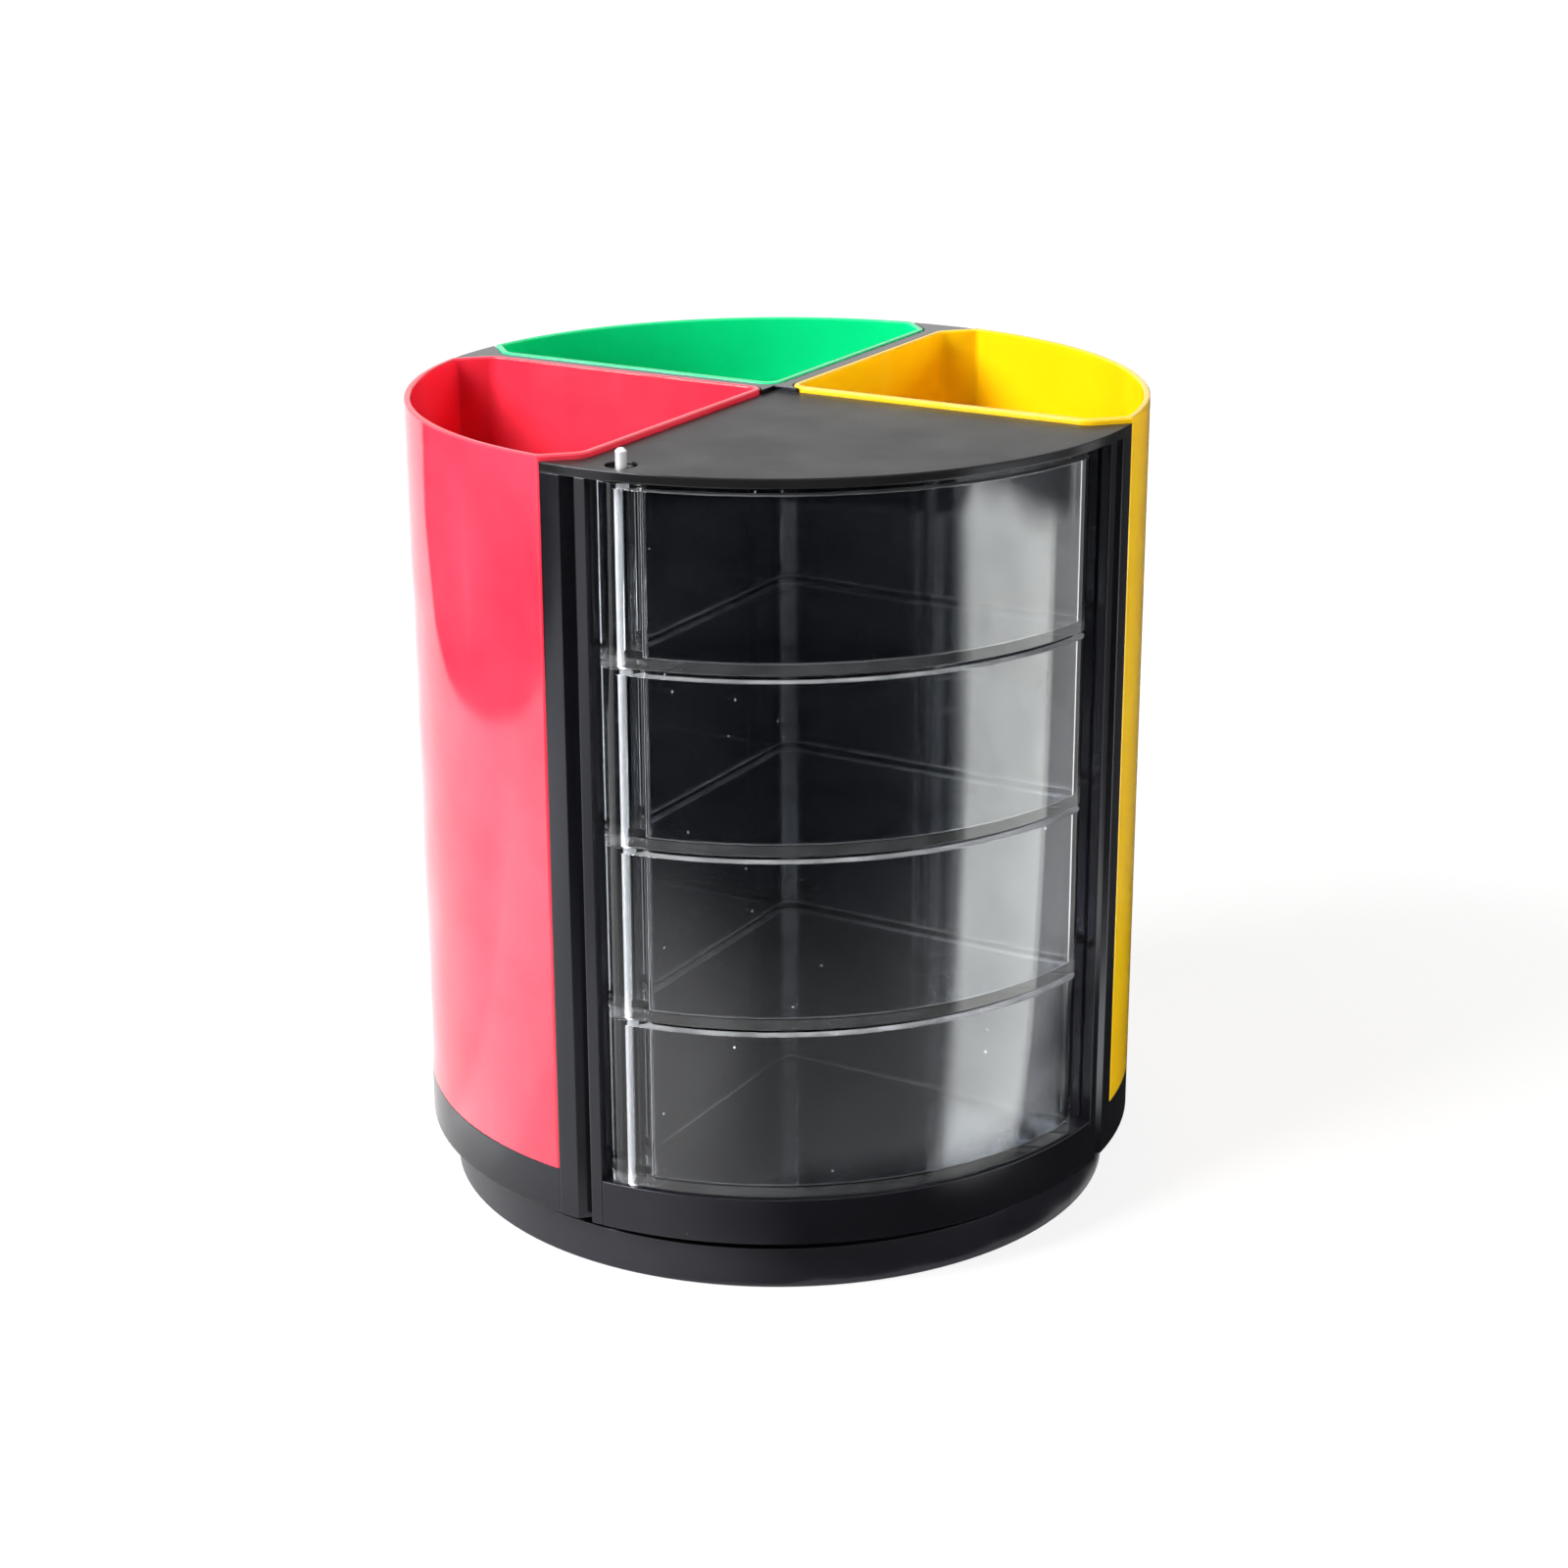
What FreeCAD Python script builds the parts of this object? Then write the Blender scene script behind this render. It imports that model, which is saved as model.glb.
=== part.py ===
import FreeCAD, Part
import math
import os

# Rotating desk organizer: a carousel on a round foot with three lift-out cups and
# a tower of four clear trays that swing out on one upright steel rod.
# Millimetres, +Z up, origin at the centre of the surface the pads stand on.
# The dividers lie on the X and Y axes; the tower fills the quarter between +X and -Y.

# ---- general fits ----
RUN_GAP = 0.06             # radial running clearance of a turning fit
SLIP_GAP = 0.03            # radial clearance of a pin or screw in its hole
SEAM = 0.1                 # gap left round a piece that drops into a notch
LOOSE_GAP = 0.3            # gap round a piece that is lifted out by hand
LIFT_GAP = 0.1             # vertical gap under a piece that stands loose
OVERCUT = 1.0              # how far a cutting body runs past the face it opens

# ---- overall ----
BODY_RADIUS = 67.5         # carousel: cups, posts, rim and top plate
FOOT_INSET = 4.5           # the standing foot is smaller all round
PAD_DROP = 0.3             # pads stand this far below the foot
FOOT_TOP = 8.0             # upper face of the foot
RIM_GAP = 3.2              # open height between foot and rim
DECK_TOP = 19.8            # face the cups and trays stand over
CUP_TOP = 150.2            # cup rims
CROSS_STEP = 0.2           # bare divider tops lie this far below the cup rims
PLATE_STEP = 0.95          # top plate lies this far below the cup rims
PLATE_THICKNESS = 1.7

# ---- dividers and posts ----
WEB_THICKNESS = 2.2
WEB_HALF = WEB_THICKNESS / 2.0
ARM_DEPTH = 6.15           # the 45 degree arm leaves its divider this far inside the body radius
ARM_THICKNESS = 3.05
RIB_SET = 1.2              # end rib beside the tower stands this far off its divider
RIB_LENGTH = 1.8           # radial length of that rib
BAY_CORNER = 3.5           # fillet where two dividers meet
BEND_RADIUS = 4.5          # fillet where an arm leaves its divider
GROOVE_ROOT = 0.3          # fillet in the root of the open groove
POST_DEPTH = 9.5           # radial length of the post foot that drops through the rim
STOP_WIDTH = 1.6           # closing stop rib for the trays
STOP_FROM_AXIS = 14.0
TENON_LENGTH = 9.0
TENON_DEPTH = 3.4
TENON_FROM_RIM = 33.5

# ---- trays of the tower ----
TRAY_COUNT = 4
TRAY_GAP = 1.3             # visible gap between trays and over the stack
TRAY_LIFT = 0.4            # under the lowest tray
TRAY_RECESS = 0.5          # curved fronts lie this far inside the body radius
TRAY_SIDE_GAP = 2.8        # between the hinge-side wall and its divider
FINGER_GAP = 4.2           # between the other wall and its divider, to pull a tray open
TRAY_WALL = 1.6
TRAY_FRONT = 2.0
TRAY_FLOOR = 1.6
TRAY_REAR_CORNER = 4.5     # rounded rear corner
TRAY_FRONT_CORNER = 4.2    # rounded corner between curved front and finger side
BARREL_RADIUS = 4.2
BARREL_GAP = 0.1           # between stacked barrels
BARREL_BLEND = 1.3         # fillet between barrel and inner walls
BARREL_SIDE_GAP = 1.0      # between barrel and divider

# ---- rod ----
ROD_RADIUS = 1.0
ROD_ABOVE_PLATE = 2.9
ROD_DEPTH = 5.6            # how far it enters the deck boss
ROD_BOSS_RADIUS = 3.0
ROD_BOSS_FLOOR = 1.4
ROD_WELL_RADIUS = 2.8      # counterbore round the rod in the top plate
ROD_WELL_DEPTH = 0.9

# ---- cups ----
CUP_WALL = 1.2
CUP_FLOOR = 2.0
CUP_EDGE = 0.7             # rounded upright edge between flare and curved wall
CUP_INNER_EDGE = 1.2
CUP_FLOOR_SLOPE = 0.9      # sloped foot of the inner walls
CUP_RIM_EASE = 0.25        # eased edges of the rim

# ---- carousel base ----
DECK_THICKNESS = 2.4
RIM_WALL = 2.2
BASE_RIB = 1.6
BASE_RIB_COUNT = 8
BASE_RIB_RISE = 3.0        # ribs stop this far above the glide ring
HUB_RADIUS = 10.0
SPIGOT_RADIUS = 6.0
RUNNER_INSET = 16.0        # middle of the glide track inside the foot's radius
RUNNER_WIDTH = 4.0

# ---- foot ----
FOOT_WALL = 2.2
FOOT_DECK = 2.2
FOOT_HUB_WALL = 3.0
FOOT_HUB_BOTTOM = 4.0
FOOT_EDGE = 0.25           # eased lower edge
FOOT_RIB = 1.6
FOOT_RIB_RISE = 0.4        # ribs stop this far above the hub's lower face
GLIDE_SEAT = 0.8           # depth of the groove that holds the glide ring
GLIDE_THICKNESS = 2.2
GLIDE_PLAY = 0.05
PAD_RADIUS = 6.0
PAD_COUNT = 4
PAD_INSET = 9.0            # pad centres inside the foot's radius
PAD_SEAT = 0.8
PAD_CUP_WALL = 1.2

# ---- spindle screw and washer ----
SCREW_RADIUS = 1.75
SCREW_GRIP = 14.0          # length held in the middle of the dividers
SCREW_TIP = 1.5
SCREW_HEAD_RADIUS = 4.0
SCREW_HEAD_HEIGHT = 1.9
SCREW_SLOT_WIDTH = 0.9
SCREW_SLOT_LENGTH = 4.6
SCREW_SLOT_DEPTH = 1.0
SCREW_BORE_GAP = 0.15
WASHER_RADIUS = 9.0
WASHER_THICKNESS = 1.0
AXIAL_PLAY = 0.15          # under the foot hub

# ---- plate pegs ----
PEG_RADIUS = 0.8
PEG_LENGTH = 5.0
PEG_INSET = 4.4            # inside the body radius
PEG_OFFSET = 0.8           # from the divider's middle towards its arm
PEG_HOLE_EXTRA = 0.5

# ---- derived ----
FOOT_RADIUS = BODY_RADIUS - FOOT_INSET
RIM_BOTTOM = FOOT_TOP + RIM_GAP
CROSS_TOP = CUP_TOP - CROSS_STEP
PLATE_TOP = CUP_TOP - PLATE_STEP
PLATE_BOTTOM = PLATE_TOP - PLATE_THICKNESS
ARM_START = BODY_RADIUS - ARM_DEPTH
TENON_RADIUS = BODY_RADIUS - TENON_FROM_RIM
RUNNER_RADIUS = FOOT_RADIUS - RUNNER_INSET
PAD_CIRCLE = FOOT_RADIUS - PAD_INSET
PAD_STEP = 360.0 / PAD_COUNT
PEG_FROM_AXIS = BODY_RADIUS - PEG_INSET
TRAY_RADIUS = BODY_RADIUS - TRAY_RECESS
TRAY_SIDE = WEB_HALF + TRAY_SIDE_GAP
TRAY_END = WEB_HALF + FINGER_GAP
ARM_MOUTH = ARM_THICKNESS * math.sqrt(2.0)
DECK_BOTTOM = DECK_TOP - DECK_THICKNESS
GLIDE_BOTTOM = FOOT_TOP - GLIDE_SEAT
GLIDE_TOP = GLIDE_BOTTOM + GLIDE_THICKNESS
RUNNER_BOTTOM = GLIDE_TOP + GLIDE_PLAY
SPIGOT_BOTTOM = FOOT_HUB_BOTTOM - AXIAL_PLAY
FOOT_BOTTOM = PAD_DROP
FOOT_DECK_BOTTOM = FOOT_TOP - FOOT_DECK
FOOT_BORE = SPIGOT_RADIUS + RUN_GAP
TRAY_PITCH = (PLATE_BOTTOM - DECK_TOP - TRAY_LIFT) / TRAY_COUNT
TRAY_HEIGHT = TRAY_PITCH - TRAY_GAP
ROD_FROM_AXIS = TRAY_RADIUS - BARREL_RADIUS
ROD_X = WEB_HALF + BARREL_SIDE_GAP + BARREL_RADIUS
ROD_Y = -math.sqrt(ROD_FROM_AXIS ** 2 - ROD_X ** 2)
POST_START = BODY_RADIUS - POST_DEPTH
QUARTER = 360.0 / 4.0      # right angle between neighbouring dividers
# directions of the dividers; those beside the tower carry an arm on one side only
TOWER_POSTS = ((0.0, 1.0), (-QUARTER, -1.0))
BARE_POSTS = (QUARTER, 2.0 * QUARTER)
CUP_QUARTERS = {"cup_yellow": 0.0, "cup_green": QUARTER, "cup_red": 2.0 * QUARTER}
TOWER_QUARTER = -QUARTER


def cylinder(radius, z0, z1, x=0.0, y=0.0):
    return Part.makeCylinder(radius, z1 - z0, FreeCAD.Vector(x, y, z0))


def ring(outer, inner, z0, z1):
    return cylinder(outer, z0, z1).cut(cylinder(inner, z0 - OVERCUT, z1 + OVERCUT))


def block(x0, x1, y0, y1, z0, z1):
    return Part.makeBox(x1 - x0, y1 - y0, z1 - z0, FreeCAD.Vector(x0, y0, z0))


def prism(points, z0, z1):
    corners = [FreeCAD.Vector(x, y, z0) for x, y in points]
    outline = Part.makePolygon(corners + corners[:1])
    return Part.Face(outline).extrude(FreeCAD.Vector(0.0, 0.0, z1 - z0))


def turned(shape, angle):
    copy = shape.copy()
    copy.rotate(FreeCAD.Vector(0.0, 0.0, 0.0), FreeCAD.Vector(0.0, 0.0, 1.0), angle)
    return copy


def fused(shapes):
    return shapes[0].multiFuse(shapes[1:]).removeSplitter()


def upright_edges_at(shape, points):
    # the upright straight edges that stand over the given plan points
    near = 0.02
    found = []
    for edge in shape.Edges:
        ends = [vertex.Point for vertex in edge.Vertexes]
        if len(ends) != 2 or math.hypot(ends[0].x - ends[1].x, ends[0].y - ends[1].y) > near:
            continue
        for x, y in points:
            if math.hypot(ends[0].x - x, ends[0].y - y) < near:
                found.append(edge)
    return found


def flat_edges_at(shape, z):
    # the edges that lie wholly at height z
    near = 0.001
    return [e for e in shape.Edges
            if abs(e.BoundBox.ZMin - z) < near and abs(e.BoundBox.ZMax - z) < near]


# ---- plan of the cup bays, shared by the dividers, the cups and the plate ----

def bay(inset, radius, z0, z1):
    # quarter bay in +X+Y: two divider faces, two 45 degree flares and the outer circle
    # inset moves the divider faces and flares into the bay by the same distance
    side = WEB_HALF + inset
    start = ARM_START + inset - inset * math.sqrt(2.0)
    reach = BODY_RADIUS
    points = [(side, side), (start, side), (start + reach, side + reach),
              (side + reach, start + reach), (side, start)]
    body = prism(points, z0, z1)
    body = body.makeFillet(BAY_CORNER - inset, upright_edges_at(body, points[:1]))
    bends = upright_edges_at(body, [points[1], points[4]])
    body = body.makeFillet(BEND_RADIUS - inset, bends)
    return body.common(cylinder(radius, z0 - OVERCUT, z1 + OVERCUT))


def tower_bay(z0, z1):
    # the open quarter of the trays, without flares
    far = BODY_RADIUS + OVERCUT
    body = block(WEB_HALF, far, WEB_HALF, far, z0, z1)
    corner = upright_edges_at(body, [(WEB_HALF, WEB_HALF)])
    return turned(body.makeFillet(BAY_CORNER, corner), TOWER_QUARTER)


def end_rib(side, z0, z1, grow):
    # thickened end of a divider along +X, on the tower side of it
    face = WEB_HALF + grow
    start = BODY_RADIUS - RIB_LENGTH - RIB_SET + grow - grow * math.sqrt(2.0)
    far = BODY_RADIUS + OVERCUT
    points = [(start, 0.0), (start, -side * face), (start + RIB_SET, -side * (face + RIB_SET)),
              (far, -side * (face + RIB_SET)), (far, 0.0)]
    return prism(points, z0, z1).common(cylinder(BODY_RADIUS, z0, z1))


def groove(side, face):
    # open groove between the end of a divider along +X and its arm, closed at the top
    slope = ARM_START + ARM_MOUTH - WEB_HALF
    start = slope + face
    reach = BODY_RADIUS - start + OVERCUT
    points = [(start, side * face), (start + reach, side * face),
              (start + reach, side * (face + reach))]
    body = prism(points, RIM_BOTTOM - OVERCUT, PLATE_BOTTOM)
    return body.makeFillet(GROOVE_ROOT, upright_edges_at(body, points[:1]))


def divider_plan(z0, z1, grow=0.0):
    # everything that is not a bay: cross of webs with flared ends, two of them with ribs
    low = z0 - OVERCUT
    high = z1 + OVERCUT
    body = cylinder(BODY_RADIUS, z0, z1)
    cuts = [turned(bay(grow, BODY_RADIUS + OVERCUT, low, high), angle)
            for angle in CUP_QUARTERS.values()]
    tower = tower_bay(low, high)
    tower.translate(FreeCAD.Vector(grow, -grow, 0.0))
    ribs = [turned(end_rib(side, z0, z1, grow), angle) for angle, side in TOWER_POSTS]
    return fused([body.cut(cuts + [tower])] + ribs)


def plate_plan(z0, z1, grow=0.0):
    # tower quarter, both dividers beside it and the arms at their ends
    low = z0 - OVERCUT
    high = z1 + OVERCUT
    edge = WEB_HALF + grow
    far = BODY_RADIUS + OVERCUT
    keep = [block(-edge, far, -far, edge, low, high)]
    keep.append(block(POST_START, far, -edge, far / 2.0, low, high))
    keep.append(block(-far / 2.0, edge, -far, -POST_START, low, high))
    body = cylinder(BODY_RADIUS + grow, z0, z1)
    cuts = [turned(bay(grow, far, low, high), angle) for angle in CUP_QUARTERS.values()]
    return body.cut(cuts).common(fused(keep))


def peg_spots():
    spots = []
    for angle, side in TOWER_POSTS:
        turn = math.radians(angle)
        x = PEG_FROM_AXIS
        y = side * PEG_OFFSET
        spots.append((x * math.cos(turn) - y * math.sin(turn),
                      x * math.sin(turn) + y * math.cos(turn)))
    return spots


# ---- frame ----

def stop_rib():
    # full-height rib on the hinge-side divider that the closed trays come to rest by
    face = TRAY_SIDE - LOOSE_GAP
    low = -STOP_FROM_AXIS - STOP_WIDTH / 2.0
    return block(WEB_HALF - SEAM, face, low, low + STOP_WIDTH, DECK_TOP, PLATE_BOTTOM)


def tenon(grow=0.0):
    # tongue under a divider along +X that drops through the deck
    half = TENON_LENGTH / 2.0 + grow
    side = WEB_HALF + grow
    return block(TENON_RADIUS - half, TENON_RADIUS + half, -side, side,
                 DECK_TOP - TENON_DEPTH - grow, DECK_TOP)


def make_divider_frame():
    posts = divider_plan(RIM_BOTTOM, DECK_TOP).common(
        ring(BODY_RADIUS, POST_START, RIM_BOTTOM, DECK_TOP))
    body = fused([divider_plan(DECK_TOP, CROSS_TOP), posts, stop_rib()]
                 + [turned(tenon(), QUARTER * k) for k in range(4)])
    high = CROSS_TOP + OVERCUT
    cuts = [plate_plan(PLATE_BOTTOM, high, SEAM)]
    for angle in BARE_POSTS:
        cuts += [turned(groove(side, WEB_HALF), angle) for side in (-1.0, 1.0)]
    for angle, side in TOWER_POSTS:
        cuts.append(turned(groove(side, WEB_HALF - RIB_SET), angle))
    for x, y in peg_spots():
        depth = PEG_LENGTH + PEG_HOLE_EXTRA
        cuts.append(cylinder(PEG_RADIUS + SLIP_GAP, PLATE_BOTTOM - depth, high, x, y))
    screw_hole_top = DECK_TOP + SCREW_GRIP + PEG_HOLE_EXTRA
    cuts.append(cylinder(SCREW_RADIUS + SLIP_GAP, DECK_TOP - OVERCUT, screw_hole_top))
    return body.cut(cuts)


def make_top_plate():
    body = plate_plan(PLATE_BOTTOM, PLATE_TOP)
    pegs = [cylinder(PEG_RADIUS, PLATE_BOTTOM - PEG_LENGTH, PLATE_BOTTOM + SEAM, x, y)
            for x, y in peg_spots()]
    body = fused([body] + pegs)
    low = PLATE_BOTTOM - OVERCUT
    high = PLATE_TOP + OVERCUT
    through = cylinder(ROD_RADIUS + SLIP_GAP, low, high, ROD_X, ROD_Y)
    well = cylinder(ROD_WELL_RADIUS, PLATE_TOP - ROD_WELL_DEPTH, high, ROD_X, ROD_Y)
    return body.cut([through, well])


def make_pivot_rod():
    top = PLATE_TOP + ROD_ABOVE_PLATE
    rod = cylinder(ROD_RADIUS, DECK_TOP - ROD_DEPTH, top, ROD_X, ROD_Y)
    return rod.makeChamfer(ROD_RADIUS / 2.0, flat_edges_at(rod, top))


# ---- trays ----

def tray_sector(side, end, radius, rear, front, z0, z1):
    # quarter sector between the hinge-side wall, the finger-side wall and the front arc
    far = BODY_RADIUS
    body = block(side, far, -far, -end, z0, z1)
    body = body.makeFillet(rear, upright_edges_at(body, [(side, -end)]))
    body = body.common(cylinder(radius, z0 - OVERCUT, z1 + OVERCUT))
    tip = (math.sqrt(radius ** 2 - end ** 2), -end)
    return body.makeFillet(front, upright_edges_at(body, [tip]))


def hinge_corner(z0, z1):
    # material outside the barrel at the hinge corner, cut off so that the barrel shows
    out_x = ROD_X / ROD_FROM_AXIS * 2.0 * BARREL_RADIUS
    out_y = ROD_Y / ROD_FROM_AXIS * 2.0 * BARREL_RADIUS
    points = [(ROD_X, ROD_Y), (ROD_X + out_x, ROD_Y + out_y),
              (0.0, ROD_Y + out_y), (0.0, ROD_Y)]
    return prism(points, z0, z1)


def tray_cavity(z0, z1):
    body = tray_sector(TRAY_SIDE + TRAY_WALL, TRAY_END + TRAY_WALL, TRAY_RADIUS - TRAY_FRONT,
                       TRAY_REAR_CORNER - TRAY_WALL, TRAY_FRONT_CORNER - TRAY_WALL, z0, z1)
    body = body.cut(cylinder(BARREL_RADIUS, z0 - OVERCUT, z1 + OVERCUT, ROD_X, ROD_Y))
    body = max(body.Solids, key=lambda solid: solid.Volume)
    blends = []
    for edge in body.Edges:
        first = edge.Vertexes[0].Point
        last = edge.Vertexes[-1].Point
        upright = math.hypot(first.x - last.x, first.y - last.y) < SLIP_GAP
        reach = math.hypot(first.x - ROD_X, first.y - ROD_Y)
        if upright and first.z != last.z and abs(reach - BARREL_RADIUS) < SLIP_GAP:
            blends.append(edge)
    return body.makeFillet(BARREL_BLEND, blends)


def make_tray(level):
    stand = DECK_TOP + level * TRAY_PITCH
    z0 = stand + TRAY_LIFT
    z1 = z0 + TRAY_HEIGHT
    shell = tray_sector(TRAY_SIDE, TRAY_END, TRAY_RADIUS,
                        TRAY_REAR_CORNER, TRAY_FRONT_CORNER, z0, z1)
    shell = shell.cut(hinge_corner(z0 - OVERCUT, z1 + OVERCUT))
    shell = shell.cut(tray_cavity(z0 + TRAY_FLOOR, z1 + OVERCUT))
    spare = BARREL_GAP / 2.0
    barrel = cylinder(BARREL_RADIUS, stand + spare, stand + TRAY_PITCH - spare, ROD_X, ROD_Y)
    bore = cylinder(ROD_RADIUS + RUN_GAP, z0 - OVERCUT, z1 + OVERCUT, ROD_X, ROD_Y)
    return fused([shell, barrel]).cut(bore)


# ---- cups ----

def make_cup(angle):
    z0 = DECK_TOP + LIFT_GAP
    outer = bay(LOOSE_GAP, BODY_RADIUS, z0, CUP_TOP)
    outer = outer.makeFillet(CUP_EDGE, circle_corners(outer, BODY_RADIUS))
    inset = LOOSE_GAP + CUP_WALL
    inner_radius = BODY_RADIUS - CUP_WALL
    cavity = bay(inset, inner_radius, z0 + CUP_FLOOR, CUP_TOP + OVERCUT)
    cavity = cavity.makeFillet(CUP_INNER_EDGE, circle_corners(cavity, inner_radius))
    cavity = cavity.makeChamfer(CUP_FLOOR_SLOPE, flat_edges_at(cavity, z0 + CUP_FLOOR))
    body = outer.cut(cavity)
    body = body.makeChamfer(CUP_RIM_EASE, flat_edges_at(body, CUP_TOP))
    return turned(body, angle)


def circle_corners(shape, radius):
    # upright edges where the flares meet the outer circle
    corners = []
    for edge in shape.Edges:
        ends = [vertex.Point for vertex in edge.Vertexes]
        if len(ends) != 2 or abs(ends[0].z - ends[1].z) < OVERCUT:
            continue
        if abs(math.hypot(ends[0].x, ends[0].y) - radius) < SLIP_GAP:
            corners.append(edge)
    return corners


# ---- carousel base ----

def base_ribs():
    ribs = []
    low = GLIDE_TOP + BASE_RIB_RISE
    inner = (HUB_RADIUS + SPIGOT_RADIUS) / 2.0
    outer = BODY_RADIUS - RIM_WALL / 2.0
    half = BASE_RIB / 2.0
    for k in range(BASE_RIB_COUNT):
        angle = (k + 0.5) * 360.0 / BASE_RIB_COUNT
        rib = block(inner, outer, -half, half, low, DECK_BOTTOM + SEAM)
        ribs.append(turned(rib, angle))
    return ribs


def make_base_tray():
    deck = cylinder(BODY_RADIUS, DECK_BOTTOM, DECK_TOP)
    rim = ring(BODY_RADIUS, BODY_RADIUS - RIM_WALL, RIM_BOTTOM, DECK_TOP)
    runner = ring(RUNNER_RADIUS + RUNNER_WIDTH / 2.0, RUNNER_RADIUS - RUNNER_WIDTH / 2.0,
                  RUNNER_BOTTOM, DECK_BOTTOM + SEAM)
    hub = cylinder(HUB_RADIUS, RIM_BOTTOM, DECK_BOTTOM + SEAM)
    spigot = cylinder(SPIGOT_RADIUS, SPIGOT_BOTTOM, DECK_BOTTOM + SEAM)
    boss_bottom = DECK_TOP - ROD_DEPTH - ROD_BOSS_FLOOR
    boss = cylinder(ROD_BOSS_RADIUS, boss_bottom, DECK_BOTTOM + SEAM, ROD_X, ROD_Y)
    body = fused([deck, rim, runner, hub, spigot, boss] + base_ribs())
    low = SPIGOT_BOTTOM - OVERCUT
    high = DECK_TOP + OVERCUT
    notch_ring = ring(BODY_RADIUS + OVERCUT, POST_START - SEAM, low, high)
    notches = divider_plan(low, high, SEAM).common(notch_ring)
    cuts = [notches] + [turned(tenon(SEAM), QUARTER * k) for k in range(4)]
    cuts.append(cylinder(SCREW_RADIUS + SCREW_BORE_GAP, low, high))
    cuts.append(cylinder(ROD_RADIUS + SLIP_GAP, DECK_TOP - ROD_DEPTH, high, ROD_X, ROD_Y))
    return body.cut(cuts)


# ---- foot and bearing ----

def pad_spots():
    spots = []
    for k in range(PAD_COUNT):
        turn = math.radians(PAD_STEP * (k + 0.25))
        spots.append((PAD_CIRCLE * math.cos(turn), PAD_CIRCLE * math.sin(turn)))
    return spots


def foot_ribs():
    ribs = []
    half = FOOT_RIB / 2.0
    low = FOOT_HUB_BOTTOM + FOOT_RIB_RISE
    for k in range(2 * PAD_COUNT):
        rib = block(FOOT_BORE + FOOT_HUB_WALL / 2.0, FOOT_RADIUS - FOOT_WALL / 2.0,
                    -half, half, low, FOOT_DECK_BOTTOM + SEAM)
        ribs.append(turned(rib, k * PAD_STEP / 2.0))
    return ribs


def make_foot_disc():
    body = cylinder(FOOT_RADIUS, FOOT_BOTTOM, FOOT_TOP)
    body = body.makeChamfer(FOOT_EDGE, flat_edges_at(body, FOOT_BOTTOM))
    low = FOOT_BOTTOM - OVERCUT
    hollow = cylinder(FOOT_RADIUS - FOOT_WALL, low, FOOT_DECK_BOTTOM)
    body = body.cut(hollow)
    hub = cylinder(FOOT_BORE + FOOT_HUB_WALL, FOOT_HUB_BOTTOM, FOOT_TOP)
    pads = [cylinder(PAD_RADIUS + PAD_CUP_WALL, FOOT_BOTTOM, FOOT_DECK_BOTTOM + SEAM, x, y)
            for x, y in pad_spots()]
    body = fused([body, hub] + pads + foot_ribs())
    seats = [cylinder(PAD_RADIUS + SLIP_GAP, low, FOOT_BOTTOM + PAD_SEAT, x, y)
             for x, y in pad_spots()]
    half = RUNNER_WIDTH / 2.0 + SEAM
    track = ring(RUNNER_RADIUS + half, RUNNER_RADIUS - half, GLIDE_BOTTOM, FOOT_TOP + OVERCUT)
    bore = cylinder(FOOT_BORE, low, FOOT_TOP + OVERCUT)
    return body.cut(seats + [track, bore])


def make_foot_pad(x, y):
    pad = cylinder(PAD_RADIUS, 0.0, FOOT_BOTTOM + PAD_SEAT, x, y)
    return pad.makeChamfer(PAD_DROP / 2.0, flat_edges_at(pad, 0.0))


def make_glide_ring():
    half = RUNNER_WIDTH / 2.0
    return ring(RUNNER_RADIUS + half, RUNNER_RADIUS - half, GLIDE_BOTTOM, GLIDE_TOP)


def make_spindle_washer():
    low = SPIGOT_BOTTOM - WASHER_THICKNESS
    return ring(WASHER_RADIUS, SCREW_RADIUS + SCREW_BORE_GAP, low, SPIGOT_BOTTOM)


def make_spindle_screw():
    head_top = SPIGOT_BOTTOM - WASHER_THICKNESS
    head_bottom = head_top - SCREW_HEAD_HEIGHT
    head = cylinder(SCREW_HEAD_RADIUS, head_bottom, head_top)
    head = head.makeChamfer(SCREW_HEAD_HEIGHT / 2.0, flat_edges_at(head, head_bottom))
    neck_top = DECK_TOP + SCREW_GRIP - SCREW_TIP
    shank = cylinder(SCREW_RADIUS, head_top - SEAM, neck_top)
    point = Part.makeCone(SCREW_RADIUS, SCREW_RADIUS / 3.0, SCREW_TIP,
                          FreeCAD.Vector(0.0, 0.0, neck_top))
    half = SCREW_SLOT_WIDTH / 2.0
    reach = SCREW_SLOT_LENGTH / 2.0
    slot_top = head_bottom + SCREW_SLOT_DEPTH
    slots = [block(-reach, reach, -half, half, head_bottom - OVERCUT, slot_top),
             block(-half, half, -reach, reach, head_bottom - OVERCUT, slot_top)]
    return fused([head, shank, point]).cut(slots)


def save(name, shape):
    shape.exportStep(os.path.join("parts", name + ".step"))
    count = len(shape.Solids)
    print(name, "solids", count, "valid", shape.isValid(), "volume", round(shape.Volume, 1))


os.makedirs("parts", exist_ok=True)
save("foot_disc", make_foot_disc())
for number, (pad_x, pad_y) in enumerate(pad_spots(), 1):
    save("foot_pad_%d" % number, make_foot_pad(pad_x, pad_y))
save("glide_ring", make_glide_ring())
save("spindle_screw", make_spindle_screw())
save("spindle_washer", make_spindle_washer())
save("base_tray", make_base_tray())
save("divider_frame", make_divider_frame())
save("top_plate", make_top_plate())
save("pivot_rod", make_pivot_rod())
for tray_level in range(TRAY_COUNT):
    save("drawer_%d" % (tray_level + 1), make_tray(tray_level))
for cup_name, cup_angle in CUP_QUARTERS.items():
    save(cup_name, make_cup(cup_angle))
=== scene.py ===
import math

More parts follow.
